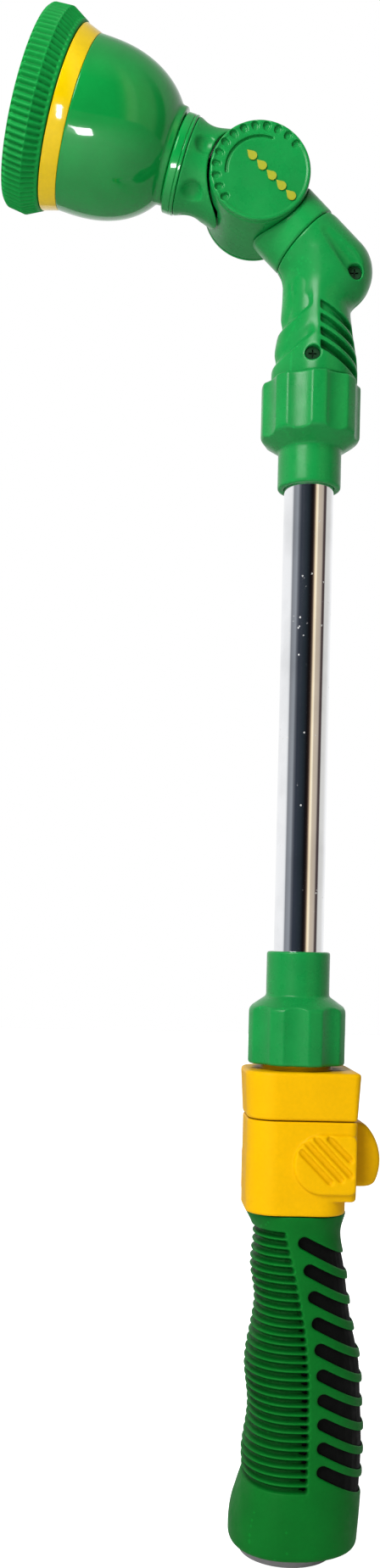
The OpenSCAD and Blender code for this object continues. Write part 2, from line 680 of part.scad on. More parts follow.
// Spray holes: each sector of the face has a pattern of its own
module spray_holes() {
    for (a = [0 : 10 : 359], r = [22.6, 25]) rotate([0, 0, a + (r > 24 ? 5 : 0)])
        if (a < 70 || a > 110) translate([r, 0, 0]) cylinder(r = 0.55, h = far, $fn = 16);
    for (s = [0 : 7]) rotate([0, 0, 45 * s]) translate([port_radius, 0, 0]) {
        if (s == 0) for (i = [0 : 5]) rotate([0, 0, 60 * i])
            translate([2.3, 0, 0]) cylinder(r = 0.6, h = far, $fn = 16);
        if (s == 1) cylinder(r = 1.7, h = far, $fn = 24);
        if (s == 2) translate([-0.5, -2.8, 0]) cube([1, 5.6, far]);
        if (s == 3) for (i = [-1 : 1], j = [-1 : 1])
            translate([1.7 * i, 1.7 * j, 0]) cylinder(r = 0.45, h = far, $fn = 16);
        if (s == 4) for (i = [0 : 2]) rotate([0, 0, 120 * i])
            translate([1.6, 0, 0]) cylinder(r = 0.9, h = far, $fn = 16);
        if (s == 5) for (y = [-2 : 2]) translate([0, 1.3 * y, 0])
            cylinder(r = 0.45, h = far, $fn = 16);
        if (s == 6) for (turn = [0, 90]) rotate([0, 0, turn])
            translate([-2.6, -0.35, 0]) cube([5.2, 0.7, far]);
        if (s == 7) for (i = [0 : 8]) rotate([0, 0, 40 * i])
            translate([2.7, 0, 0]) cylinder(r = 0.4, h = far, $fn = 16);
    }
}

module spray_face() color([0.12, 0.12, 0.12]) head_frame() difference() {
    union() {
        translate([0, 0, face_back]) cylinder(r = 27, h = 3);
        translate([0, 0, face_back + 2]) cylinder(r = 6, h = 2);
        translate([0, 0, face_back + 2]) ring(20.4, 19.4, 0, 1.8);
    }
    cylinder(r = 2.2 + running, h = far * 2);
    translate([0, 0, face_back - 1]) spray_holes();
    for (s = [0 : 7]) rotate([0, 0, 45 * s]) translate([-16, 0, face_back - 1])
        cylinder(r = 0.9, h = 1.5, $fn = 24);
}

// Knurled ring: ribs on a front cylinder and on the cone behind it
module dial_ring() color("forestgreen") head_frame() difference() {
    intersection() {
        rotate_extrude() polygon([[24.9, band_front + clear], [28, band_front + clear],
            [dial_r, dial_ridge], [dial_r - 0.6, dial_front - 0.8], [dial_r - 1.4, dial_front],
            [24.9, dial_front]]);
        linear_extrude(height = 2 * far)
            polygon([for (i = [0 : 2 * rib_count - 1])
                let (a = 180 * i / rib_count, r = dial_r + 0.1 - (i % 2 == 0 ? 0 : 0.75))
                r * [cos(a), sin(a)]]);
    }
    translate([0, 0, face_back - gap]) cylinder(r = 27 + gap, h = far);
}

module dial_screw() color("silver") head_frame() difference() {
    union() {
        translate([0, 0, 58.2]) cylinder(r = 2.15, h = 1);
        translate([0, 0, 59]) cylinder(r = 2.2, h = face_back + 5 - 59);
        translate([0, 0, face_back + 4.3]) cylinder(r = 4, h = 2);
    }
    for (turn = [0, 90]) rotate([0, 0, turn])
        translate([-2.2, -0.4, face_back + 5.2]) cube([4.4, 0.8, 2]);
}

hose_inlet();
hose_washer();
filter_screen();
handle_core();
grip_sleeve();
valve_housing();
valve_body();
valve_spool();
spool_o_rings();
thumb_lever();
lever_shaft();
valve_cap();
cap_o_ring();
seat_plug();
seat_pad();
lower_nut();
lower_washer();
wand_tube();
upper_washer();
upper_nut();
elbow_duct();
elbow_shell_front();
elbow_shell_rear();
elbow_screws();
knuckle();
duct_o_ring();
pivot_drum();
pivot_rotor();
rotor_o_rings();
pivot_screw();
pivot_nut();
pivot_cover_front();
pivot_cover_rear();
cover_mark();
detent_ball();
detent_spring();
head_neck();
neck_collar();
head_bowl();
yellow_band();
port_plate();
port_seal();
port_spring();
click_ball();
click_spring();
spray_face();
dial_ring();
dial_screw();
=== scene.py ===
"""Looks of the watering wand: moulded pieces from distance fields and turned profiles,
procedural materials, and a soft studio. Lengths are millimetres until a mesh is made."""

import json
import math

import bpy
import numpy as np
import openvdb
from mathutils import Matrix, Vector


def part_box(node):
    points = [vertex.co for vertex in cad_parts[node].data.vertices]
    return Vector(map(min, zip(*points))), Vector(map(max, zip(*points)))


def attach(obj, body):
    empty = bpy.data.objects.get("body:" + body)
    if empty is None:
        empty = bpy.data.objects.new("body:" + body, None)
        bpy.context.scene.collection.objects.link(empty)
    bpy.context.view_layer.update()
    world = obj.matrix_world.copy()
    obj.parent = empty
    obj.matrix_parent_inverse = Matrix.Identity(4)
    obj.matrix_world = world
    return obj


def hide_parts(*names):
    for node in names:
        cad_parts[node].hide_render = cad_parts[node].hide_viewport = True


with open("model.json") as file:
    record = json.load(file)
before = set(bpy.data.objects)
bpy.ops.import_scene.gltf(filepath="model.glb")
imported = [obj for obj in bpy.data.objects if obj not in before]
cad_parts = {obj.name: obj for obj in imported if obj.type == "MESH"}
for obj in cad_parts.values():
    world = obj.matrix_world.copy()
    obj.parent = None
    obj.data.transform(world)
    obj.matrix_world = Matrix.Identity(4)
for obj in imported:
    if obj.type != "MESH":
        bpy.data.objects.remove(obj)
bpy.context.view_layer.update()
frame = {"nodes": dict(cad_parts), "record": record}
MM = 0.001


def span(node):
    """Lowest and highest corner of a CAD node, in millimetres."""
    low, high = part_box(node)
    return np.array(low) / MM, np.array(high) / MM


# ---------------------------------------------------------------- materials


class Tree:
    """Short calls for building a material's nodes."""

    def __init__(self, name):
        self.material = bpy.data.materials.new(name)
        self.material.use_nodes = True
        self.nodes = self.material.node_tree.nodes
        self.links = self.material.node_tree.links
        self.shader = self.nodes["Principled BSDF"]
        self.place = self.node("ShaderNodeTexCoord").outputs["Object"]

    def node(self, kind, **values):
        made = self.nodes.new(kind)
        for key, value in values.items():
            if key in made.inputs:
                self.put(made.inputs[key], value)
            else:
                setattr(made, key, value)
        return made

    def put(self, socket, value):
        if isinstance(value, bpy.types.NodeSocket):
            self.links.new(value, socket)
        else:
            socket.default_value = value

    def noise(self, scale, detail=3.0, stretch=None):
        where = self.place
        if stretch:
            where = self.node("ShaderNodeMapping", Vector=where, Scale=stretch).outputs["Vector"]
        return self.node(
            "ShaderNodeTexNoise", Vector=where, Scale=scale, Detail=detail
        ).outputs["Fac"]

    def spread(self, value, low, high, start=0.3, end=0.7):
        """value taken from start..end to low..high."""
        made = self.node("ShaderNodeMapRange", Value=value)
        for key, number in zip(("From Min", "From Max", "To Min", "To Max"), (start, end, low, high)):
            made.inputs[key].default_value = number
        return made.outputs["Result"]

    def mix(self, factor, a, b):
        made = self.node("ShaderNodeMix", data_type="RGBA")
        for socket, value in ((made.inputs[0], factor), (made.inputs[6], a), (made.inputs[7], b)):
            self.put(socket, value)
        return made.outputs[2]

    def times(self, a, b):
        made = self.node("ShaderNodeMath", operation="MULTIPLY")
        self.put(made.inputs[0], a)
        self.put(made.inputs[1], b)
        return made.outputs[0]

    def bump(self, height, depth, strength=1.0, under=None):
        made = self.node("ShaderNodeBump", Height=height, Distance=depth, Strength=strength)
        if under:
            self.put(made.inputs["Normal"], under)
        return made.outputs["Normal"]


def shade(colour, factor):
    return (*(min(1.0, c * factor) for c in colour[:3]), 1.0)


def moulded(name, colour, rough, grain=0.00001, grain_size=2400, edge=1.35, hollow=0.55, wave=0.35,
            shine=0.5, dust=0.1, groove_shade=None):
    """Moulded plastic: cloudy colour, uneven gloss, fine skin, lighter sharp edges, and hollows darkened
    with dust and painted shade.
    edge, hollow and groove_shade are the colour's factors on edges, in hollows (dust and painted shade) and
    in narrow grooves (painted shade from ambient occlusion)."""
    t = Tree(name)
    cloud = t.spread(t.noise(70, 4), 0, 1)
    speck = t.spread(t.noise(900, 2), 0, 1)
    base = t.mix(cloud, shade(colour, 1 - dust), shade(colour, 1 + dust))
    base = t.mix(t.times(speck, 0.25), base, shade(colour, 0.8))
    curve = t.node("ShaderNodeNewGeometry").outputs["Pointiness"]
    base = t.mix(t.spread(curve, 0, 0.5, 0.51, 0.6), base, shade(colour, edge))
    # dust and painted shade: concave hollows are darkened, partly as dust and partly as the shade that
    # falls there
    base = t.mix(t.spread(curve, 0, 0.6, 0.49, 0.42), base, shade(colour, hollow))
    # painted shade: ambient occlusion darkens narrow grooves and seams, where shade falls
    if groove_shade:
        groove_occlusion_shade = t.node("ShaderNodeAmbientOcclusion", samples=6, Distance=0.0025).outputs["AO"]
        base = t.mix(t.spread(groove_occlusion_shade, 1, 0, 0.35, 0.8), base, shade(colour, groove_shade))
    t.put(t.shader.inputs["Base Color"], base)
    t.put(t.shader.inputs["Roughness"], t.spread(t.noise(260, 5), rough * 0.85, rough * 1.25))
    skin = t.bump(t.noise(grain_size, 2), grain, 0.6)
    t.put(t.shader.inputs["Normal"], t.bump(t.noise(45, 2), 0.00012, wave, skin) if wave else skin)
    t.shader.inputs["Specular IOR Level"].default_value = shine
    return t.material


def metal(name, colour, rough, streak=(900, 900, 12)):
    """Plated metal: lengthwise polishing marks, dust specks and small stains."""
    t = Tree(name)
    dust, dull = (0.55, 0.55, 0.52, 1), (0.6, 0.6, 0.6, 1)
    lines = t.noise(1, 3, streak)
    stain = t.spread(t.noise(55, 5), 0, 1, 0.45, 0.75)
    dots = t.node("ShaderNodeTexVoronoi", Vector=t.place, Scale=420).outputs["Distance"]
    dots = t.times(t.spread(dots, 1, 0, 0.05, 0.16), t.spread(t.noise(120, 2), 0, 1, 0.55, 0.62))
    base = t.mix(stain, (*colour, 1), shade(colour, 0.86))
    t.put(t.shader.inputs["Base Color"], t.mix(dots, base, dust))
    t.put(t.shader.inputs["Metallic"], t.spread(dots, 1, 0.2, 0, 1))
    t.put(t.shader.inputs["Roughness"], t.mix(dots, t.spread(lines, rough, rough + 0.05), dull))
    t.put(t.shader.inputs["Normal"], t.bump(t.noise(30, 2, (1, 1, 0.3)), 0.00006, 0.2))
    return t.material


POLISHED = {"grain": 0.000001, "wave": 0}
finish_of = {
    "green_plastic": moulded("green_plastic", (0.005, 0.25, 0.048), 0.28, shine=0.25),
    "green_collar": moulded("green_collar", (0.004, 0.28, 0.05), 0.1, shine=0.45, **POLISHED),
    "green_gloss": moulded("green_gloss", (0.004, 0.25, 0.042), 0.07, shine=0.45, **POLISHED),
    "soft_green_ring": moulded("soft_green_ring", (0.004, 0.27, 0.045), 0.5, grain=0.00002,
                               hollow=0.22, shine=0.12),
    "soft_grip": moulded("soft_grip", (0.001, 0.14, 0.014), 0.5, grain=0.00003, grain_size=1800,
                         edge=1.7, hollow=0.25, shine=0.1, groove_shade=0.12),
    "yellow_plastic": moulded("yellow_plastic", (0.82, 0.44, 0.0), 0.4, edge=1.03, hollow=0.7,
                              wave=0.15, shine=0.06, dust=0.03, groove_shade=0.6),
    "yellow_gloss": moulded("yellow_gloss", (0.86, 0.58, 0.0), 0.08, edge=1.05, hollow=0.8, wave=0,
                            shine=0.4),
    "yellow_mark": moulded("yellow_mark", (0.34, 0.36, 0.015), 0.45, edge=1.05, hollow=0.8, shine=0.3),
    "black_plastic": moulded("black_plastic", (0.002, 0.0025, 0.0022), 0.6, edge=1.5, shine=0.08),
    "face_plastic": moulded("face_plastic", (0.012, 0.013, 0.013), 0.38, edge=2.2),
    "rubber": moulded("rubber", (0.01, 0.01, 0.01), 0.7, grain=0.00003),
    "white_plastic": moulded("white_plastic", (0.72, 0.7, 0.64), 0.35, edge=1.05, hollow=0.8),
    "grey_plastic": moulded("grey_plastic", (0.2, 0.19, 0.2), 0.4, edge=1.4),
    "steel": metal("steel", (0.5, 0.5, 0.5), 0.25, (1500, 1500, 400)),
    "chromed_tube": metal("chromed_tube", (0.93, 0.94, 0.96), 0.045),
}
NODE_FINISH = {
    "hose_inlet": "grey_plastic", "hose_washer": "rubber", "filter_screen": "steel",
    "handle_core": "black_plastic", "grip_sleeve": "soft_grip",
    "valve_housing": "yellow_plastic", "valve_body": "black_plastic",
    "valve_spool": "white_plastic", "spool_o_rings": "rubber", "thumb_lever": "yellow_plastic",
    "lever_shaft": "steel", "valve_cap": "yellow_plastic", "cap_o_ring": "rubber",
    "seat_plug": "white_plastic", "seat_pad": "rubber", "lower_nut": "green_plastic",
    "lower_washer": "rubber", "wand_tube": "chromed_tube", "upper_washer": "rubber",
    "upper_nut": "green_plastic", "elbow_duct": "black_plastic",
    "elbow_shell_front": "green_plastic", "elbow_shell_rear": "green_plastic",
    "elbow_screws": "steel", "knuckle": "green_plastic", "duct_o_ring": "rubber",
    "pivot_drum": "green_plastic", "pivot_rotor": "black_plastic", "rotor_o_rings": "rubber",
    "pivot_screw": "steel", "pivot_nut": "steel", "pivot_cover_front": "green_plastic",
    "pivot_cover_rear": "green_plastic", "cover_mark": "yellow_mark", "detent_ball": "steel",
    "detent_spring": "steel", "head_neck": "green_plastic", "neck_collar": "green_collar",
    "head_bowl": "green_gloss", "yellow_band": "yellow_gloss", "port_plate": "black_plastic",
    "port_seal": "rubber", "port_spring": "steel", "click_ball": "steel",
    "click_spring": "steel", "spray_face": "face_plastic", "dial_ring": "soft_green_ring",
    "dial_screw": "steel",
}
# painted shade: the elbow's screws are dark green, the shade seen inside their holes, not a colour of steel
screw_hole_shade = moulded("screw_hole_shade", (0.004, 0.035, 0.01), 0.3)
for node, slot in NODE_FINISH.items():
    for holder in frame["nodes"][node].material_slots:
        holder.material = screw_hole_shade if node == "elbow_screws" else finish_of[slot]


# ---------------------------------------------------------------- meshes


def to_object(name, points, faces, place):
    """Mesh object from points in millimetres of a local frame, put in place in metres."""
    mesh = bpy.data.meshes.new(name)
    sides = faces.shape[1]
    mesh.vertices.add(len(points))
    mesh.vertices.foreach_set("co", (points * MM).astype(np.float32).ravel())
    mesh.loops.add(faces.size)
    mesh.loops.foreach_set("vertex_index", faces.astype(np.int32).ravel())
    mesh.polygons.add(len(faces))
    mesh.polygons.foreach_set("loop_start", np.arange(0, faces.size, sides, dtype=np.int32))
    mesh.update(calc_edges=True)
    mesh.transform(place)
    mesh.shade_smooth()
    mesh.validate()
    made = bpy.data.objects.new(name, mesh)
    bpy.context.collection.objects.link(made)
    return made


def outward(points, faces):
    """faces turned so that their normals point out of the solid."""
    a, b, c = points[faces[:, 0]], points[faces[:, 1]], points[faces[:, 2]]
    d = points[faces[:, -1]]
    volume = np.einsum("ij,ij->i", a, np.cross(b, c)) + np.einsum("ij,ij->i", a, np.cross(c, d))
    return faces if volume.sum() > 0 else faces[:, ::-1]


def stand_in(made, *nodes):
    """made takes over from CAD nodes of one body, with their finish."""
    body = next(b for b, held in frame["record"]["behaviour"]["bodies"].items() if nodes[0] in held)
    made.data.materials.append(finish_of[NODE_FINISH[nodes[0]]])
    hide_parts(*nodes)
    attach(made, body)
    return made


def axis_place(origin, angle):
    """Local frame with +Z in direction angle, from +X towards +Z; origin in millimetres."""
    turn = Matrix.Rotation(math.radians(90 - angle), 4, "Y")
    return Matrix.Translation(Vector(origin) * MM) @ turn


def rounded(corners, radius, steps=4):
    """Closed outline with its corners rounded, each corner (x, y) or (x, y, radius)."""
    result = []
    count = len(corners)
    for i, corner in enumerate(corners):
        here = np.array(corner[:2], float)
        before = np.array(corners[i - 1][:2], float) - here
        after = np.array(corners[(i + 1) % count][:2], float) - here
        la, lb = np.linalg.norm(before), np.linalg.norm(after)
        turn = math.acos(np.clip(before @ after / (la * lb), -1, 1))
        size = corner[2] if len(corner) > 2 else radius
        cut = min(size / max(math.tan(turn / 2), 1e-6), 0.45 * la, 0.45 * lb)
        if math.pi - turn < 0.12 or cut < 0.01:
            result.append(here)
            continue
        start, end = here + before / la * cut, here + after / lb * cut
        for k in range(steps + 1):
            f = k / steps
            result.append((1 - f) ** 2 * start + 2 * f * (1 - f) * here + f * f * end)
    return np.array(result)


def turned(name, outline, place, around=256, ripple=None):
    """Solid of revolution about local Z of a closed outline of (radius, height)."""
    angle = 2 * math.pi * np.arange(around) / around
    radius = np.repeat(outline[:, :1], around, 1)
    height = np.repeat(outline[:, 1:], around, 1)
    if ripple:
        radius = radius + ripple(radius, height, angle[None, :])
    points = np.stack([radius * np.cos(angle), radius * np.sin(angle), height], -1).reshape(-1, 3)
    rows = np.arange(len(outline))[:, None] * around
    next_rows = np.roll(np.arange(len(outline)), -1)[:, None] * around
    here, there = np.arange(around)[None, :], np.roll(np.arange(around), -1)[None, :]
    faces = np.stack([rows + here, rows + there, next_rows + there, next_rows + here], -1).reshape(-1, 4)
    return to_object(name, points, outward(points, faces), place)


# ---------------------------------------------------------------- distance fields


class Space:
    """Sample points of a box in a local frame. Arrays broadcast along x, y and z."""

    def __init__(self, low, high, step):
        self.low, self.step = np.array(low, float), step
        grid = [l + step * np.arange(int((h - l) / step) + 2) for l, h in zip(low, high)]
        self.x = grid[0].astype(np.float32)[:, None, None]
        self.y = grid[1].astype(np.float32)[None, :, None]
        self.z = grid[2].astype(np.float32)[None, None, :]

    def solid(self, name, field, place=Matrix.Identity(4)):
        """Mesh of the field's inside, after one softening pass along each axis."""
        shape = (self.x.size, self.y.size, self.z.size)
        field = np.array(np.broadcast_to(field, shape), dtype=np.float32)
        for axis in range(3):
            inner = [slice(None)] * 3
            before, after = list(inner), list(inner)
            inner[axis], before[axis], after[axis] = slice(1, -1), slice(0, -2), slice(2, None)
            field[tuple(inner)] = (
                field[tuple(inner)] * 0.5 + (field[tuple(before)] + field[tuple(after)]) * 0.25
            )
        grid = openvdb.FloatGrid(3.0 * self.step)
        grid.copyFromArray(field)
        points, _, quads = grid.convertToPolygons(isovalue=0.0, adaptivity=0.0)
        points = np.asarray(points, float) * self.step + self.low
        faces = outward(points, np.asarray(quads, np.int64))
        return to_object(name, points, faces, place)


def both(a, b, soft=0.5):
    """Where a and b meet, with an edge of about that radius."""
    h = np.clip(0.5 - 0.5 * (b - a) / soft, 0, 1)
    return b + (a - b) * h + soft * h * (1 - h)


def either(a, b, soft=0.5):
    """a and b together, with a fillet of about that radius."""
    h = np.clip(0.5 + 0.5 * (b - a) / soft, 0, 1)
    return b + (a - b) * h - soft * h * (1 - h)


def without(a, b, soft=0.4):
    return both(a, -b, soft)


def rod(s, start, end, radius, end_radius=None):
    """Distance to a rod with round ends between two points, tapering if asked."""
    start, end = np.array(start, float), np.array(end, float)
    way = end - start
    px, py, pz = s[0] - start[0], s[1] - start[1], s[2] - start[2]
    t = np.clip((px * way[0] + py * way[1] + pz * way[2]) / (way @ way), 0, 1)
    far = np.sqrt((px - t * way[0]) ** 2 + (py - t * way[1]) ** 2 + (pz - t * way[2]) ** 2)
    return far - (radius if end_radius is None else radius + (end_radius - radius) * t)


# ---------------------------------------------------------------- where things are

HEAD_ANGLE, KNUCKLE_ANGLE = 162.7, -45  # degrees from +X towards +Z
HEAD_LIFT, NECK_LIFT = 2.2, 0.5  # how far the head's and the neck's axes pass the pivot
drum_low, drum_high = span("pivot_drum")
pivot = (drum_low + drum_high) / 2
drum_r = (drum_high[2] - drum_low[2]) / 2
pivot_place = Matrix.Translation(Vector((pivot[0], 0, pivot[2])) * MM)


def head_place(lift):
    a = math.radians(HEAD_ANGLE)
    return axis_place(pivot + lift * np.array([math.sin(a), 0, -math.cos(a)]), HEAD_ANGLE)


# ---------------------------------------------------------------- head

RIBS, RIB_DEPTH = 90, 0.95


def ribbing(radius, height, angle):
    """Rounded ribs on the outside of the dial ring, dying out at its lips."""
    outside = np.clip((radius - 27.6) / 0.5, 0, 1)
    ends = np.clip((height - 67.0) / 0.8, 0, 1) * np.clip((77.9 - height) / 0.5, 0, 1)
    ridge = 1 - 0.35 * np.exp(-(((height - 71.4) / 0.35) ** 2))
    valley = ((1 + np.cos(RIBS * angle)) / 2) ** 1.2
    return -RIB_DEPTH * valley * outside * ends * ridge


def dense(outline, step):
    """Outline with points added so that no side is longer than step."""
    result = []
    for a, b in zip(outline, np.roll(outline, -1, 0)):
        count = max(1, int(np.ceil(np.linalg.norm(b - a) / step)))
        result += [a + (b - a) * k / count for k in range(count)]
    return np.array(result)


def dial_ring():
    outline = rounded(
        [(24.9, 66.36), (27.95, 66.36, 0.4), (30.5, 71.4, 0.5), (30.0, 77.0, 0.8), (29.0, 78.0, 0.7),
         (27.05, 78.0, 0.3), (27.05, 69.96), (24.9, 69.96)], 0.25)
    ring = turned("dial_ring_ribbed", dense(outline, 0.45), head_place(HEAD_LIFT), RIBS * 10, ribbing)
    stand_in(ring, "dial_ring")


def yellow_band():
    outline = rounded([(24.45, 60.82), (26.0, 60.82), (27.6, 66.06), (24.45, 66.06)], 0.22)
    return stand_in(turned("yellow_band_ring", outline, head_place(HEAD_LIFT)), "yellow_band")


def bowl_radius(height, mouth_r=26.0, length=32.0):
    """Radius of the bowl, a little fuller than an ellipse, with its mouth at height 58."""
    return mouth_r * (1 - (np.clip(58 - height, 0, None) / length) ** 2.25) ** (1 / 2.25)


def head_bowl():
    outer = np.linspace(30.6, 60.4, 60)
    inner = np.linspace(58.5, 31.5, 30)
    rear = [(4.9, 28.3), (14.1, 28.3), (14.6, 28.5), (14.8, 28.9), (14.86, 30.0)]
    lip = [(25.97, 60.62), (25.8, 60.72), (24.4, 60.72), (24.4, 68.0), (22.4, 68.0), (22.4, 60.7)]
    outline = np.concatenate([
        rear, np.stack([bowl_radius(outer), outer], 1),
        lip, np.stack([bowl_radius(inner, 24.0, 30.0), inner], 1), [(4.9, 31.4)]])
    return stand_in(turned("head_bowl_shell", outline, head_place(HEAD_LIFT), 320), "head_bowl")


def neck_collar():
    outline = rounded(
        [(5.3, 24.12), (14.75, 24.12, 0.15), (15.0, 24.4, 0.15), (15.0, 25.0), (14.65, 25.2, 0.1),
         (15.0, 25.4), (15.0, 27.6, 0.4), (14.3, 28.08), (5.3, 28.08)], 0.2)
    return stand_in(turned("neck_collar_ring", outline, head_place(NECK_LIFT)), "neck_collar")


def head_neck():
    """Waisted neck with a saddle round the drum and six dimples."""
    profile = ((6, 15.2), (10.5, 15.2), (12.5, 14.5), (15, 13.9), (17.6, 13.6), (19.4, 13.65),
               (21.2, 13.9), (22.8, 14.35), (24.2, 14.9), (27, 14.9))
    dimples, dimple_z, dimple_r = 6, 18.8, 3.7
    s = Space((-18, -18, 6), (18, 18, 26), 0.25)
    waist = np.interp(s.z.ravel(), *zip(*profile))
    waist = np.convolve(np.pad(waist, 4, "edge"), np.ones(9) / 9, "valid").astype(np.float32)[None, None, :]
    neck = (np.hypot(s.x, s.y) - waist) * 0.93
    neck = both(neck, s.z - 24.02, 0.25)
    neck = both(neck, 8.5 - s.z, 0.5)
    neck = without(neck, np.hypot(s.x + NECK_LIFT, s.z) - (drum_r + 0.75), 0.5)
    for i in range(dimples):
        a = math.radians(-90 + 360 // dimples * i + 6)
        dx, dy = s.x - 15.6 * math.cos(a), s.y - 15.6 * math.sin(a)
        across = -dx * math.sin(a) + dy * math.cos(a)
        radial = dx * math.cos(a) + dy * math.sin(a)
        dimple = np.sqrt((across * 0.9) ** 2 + radial ** 2 + (s.z - dimple_z) ** 2) - dimple_r
        neck = without(neck, dimple, 0.7)
    neck = without(neck, np.hypot(s.x + NECK_LIFT, s.y) - 5.1, 0.2)
    stand_in(s.solid("head_neck_moulding", neck, head_place(NECK_LIFT)), "head_neck")


# ---------------------------------------------------------------- pivot


def pivot_cover():
    """Disc with a raised rim, a row of index dots and an arc groove."""
    dots, first_dot, dot_turn = 13, 218, 15
    face_y = span("pivot_cover_front")[0][1]
    back_y = drum_low[1] - 0.05
    s = Space((-17, face_y - 1, -17), (17, back_y + 1, 17), 0.17)
    r = np.hypot(s.x, s.z)
    cover = both(r - drum_r, np.maximum(face_y - s.y, s.y - back_y), 0.9)
    rim = np.abs(r - (drum_r - 0.8)) - 0.4
    cover = without(cover, both(r - (drum_r - 1.2), s.y - (face_y + 0.22), 0.3), 0.3)
    cover = either(cover, both(rim, np.abs(s.y - face_y - 0.8) - 0.75, 0.4), 0.3)
    for i in range(dots):
        a = math.radians(first_dot - dot_turn * i)
        along = s.x * math.cos(a) + s.z * math.sin(a) - 13.7
        across = -s.x * math.sin(a) + s.z * math.cos(a)
        dot = np.hypot(np.clip(np.abs(along) - 0.3, 0, None), across) - (1.0 + 0.25 * along)
        cover = without(cover, both(dot, s.y - (face_y + 1.1), 0.3), 0.3)
    turn = np.degrees(np.arctan2(s.z, s.x))
    turn = np.where(turn < -90, turn + 360, turn)
    inside = np.minimum(turn - 69, 186 - turn) * r * (math.pi / 180)
    groove = both(np.abs(r - 10.8) - 0.42, -inside, 0.5)
    cover = without(cover, both(groove, s.y - (face_y + 1.1), 0.2), 0.25)
    stand_in(s.solid("pivot_cover_disc", cover, pivot_place), "pivot_cover_front")


def pivot_drum():
    """Drum with a window for the head's rotor and a hole towards the knuckle."""
    s = Space((-17, drum_low[1] - 1, -17), (17, drum_high[1] + 1, 17), 0.3)
    r = np.hypot(s.x, s.z)
    drum = both(r - drum_r, 14.4 - r, 0.3)
    drum = both(drum, np.abs(s.y) - drum_high[1], 0.5)
    turn = np.degrees(np.arctan2(s.z, s.x)) % 360
    window = np.maximum(63 - turn, turn - 216) * r * (math.pi / 180)
    drum = without(drum, both(window, np.abs(s.y) - 5.3, 0.5), 0.3)
    a = math.radians(KNUCKLE_ANGLE)
    past = s.x * math.cos(a) + s.z * math.sin(a)
    aside = -s.x * math.sin(a) + s.z * math.cos(a)
    drum = without(drum, both(np.hypot(aside, s.y) - 5.6, -past, 0.2), 0.2)
    stand_in(s.solid("pivot_drum_shell", drum, pivot_place), "pivot_drum")


def knuckle():
    s = Space((-14, -14, 8), (14, 14, 24), 0.25)
    sleeve = np.hypot(s.x, s.y) - ELBOW_R
    sleeve = both(sleeve, s.z - 22.7, 0.5)
    sleeve = without(sleeve, np.hypot(s.x, s.z) - (drum_r + 0.12), 0.9)
    sleeve = without(sleeve, np.hypot(s.x, s.y) - 8.5, 0.2)
    stand_in(s.solid("knuckle_moulding", sleeve, axis_place(pivot, KNUCKLE_ANGLE)), "knuckle")


# ---------------------------------------------------------------- elbow

ELBOW_R, SEAM, HEEL, ELBOW_X = 12.3, 22.85, 36.7, 0.9  # SEAM and HEEL are measured from the pivot
HALF = math.sqrt(0.5)  # cosine and sine of the arm's 45 degrees
UPPER_SCREW, LOWER_SCREW = (12.0, 410.0, -6.0), (-1.3, 382.4, -9.6)  # x, z and the seat's y
ELBOW_SLOTS, ELBOW_SLOT_TOP, ELBOW_SLOT_PITCH = 4, 398.8, 4.5
SLOT_SLOPE = math.radians(28)
NECK_TOP = 416


def neck_radius(heights):
    """Radius of the elbow's neck, wider at its foot, at each height."""
    knots = np.linspace(374, NECK_TOP, 85)
    radii = np.interp(knots, (374, 382, 386, 390, 395, 399, 405, NECK_TOP),
                      (13.9, 13.9, 13.4, 12.6, 11.8, 11.2, 10.8, 10.8))
    smooth = np.convolve(np.pad(radii, 6, "edge"), np.ones(13) / 13, "valid")
    return np.interp(heights, knots, smooth).astype(np.float32)[None, None, :]


def elbow_form(s):
    """Outer form of both elbow shells, with the flat left face and the finger waves."""
    x, y, z = s.x - pivot[0], s.y, s.z - pivot[2]
    past, aside = HALF * (x - z), HALF * (x + z)
    arm = np.sqrt(aside ** 2 + y ** 2 + np.clip(past - HEEL, 0, None) ** 2) - ELBOW_R
    from_axis = s.x - ELBOW_X
    radius = neck_radius(s.z.ravel())
    neck = np.hypot(from_axis, y) - radius
    neck = both(neck, -(from_axis + y) * HALF - 0.89 * radius, 2.4)
    neck = both(neck, s.z - NECK_TOP, 2.0)
    body = either(arm, neck, 3.0)
    for knot_x, knot_z, reach in ((-1.5, 399.6, 1.5), (0.2, 390.6, 3.0)):
        t = (s.z - knot_z) - 0.62 * (s.x - knot_x)
        wave = np.where(t < 0, np.exp(-((t / 0.7) ** 2)), np.exp(-((t / 3.0) ** 2)))
        fade = np.clip((knot_x - s.x) / reach, 0, 1) * np.clip((13 - np.abs(y)) / 2, 0, 1)
        body = body + 1.15 * wave * fade
    wall = np.maximum(np.hypot(from_axis, y) - 9.8, s.z - 412)
    return np.minimum(body, wall), arm, past


def elbow_slot(s, index):
    """One of the slanting slots, blunt on the left; it ends inside the neck's own wall."""
    dx, dz = s.x - 0.8, s.z - (ELBOW_SLOT_TOP - ELBOW_SLOT_PITCH * index)
    above = dx * math.sin(SLOT_SLOPE) + dz * math.cos(SLOT_SLOPE)
    slot = both(np.abs(above) - 1.3, 0.2 - dx, 0.5)
    floor_depth = 9.4 - np.hypot(s.x - ELBOW_X, s.y)
    return both(both(slot, floor_depth, 0.4), 2.2 - np.abs(s.y), 1.0)


def arm_point(past, aside, y):
    """Point of the arm, past the pivot along it and aside of its axis."""
    return pivot[0] + HALF * (past + aside), y, pivot[2] + HALF * (aside - past)


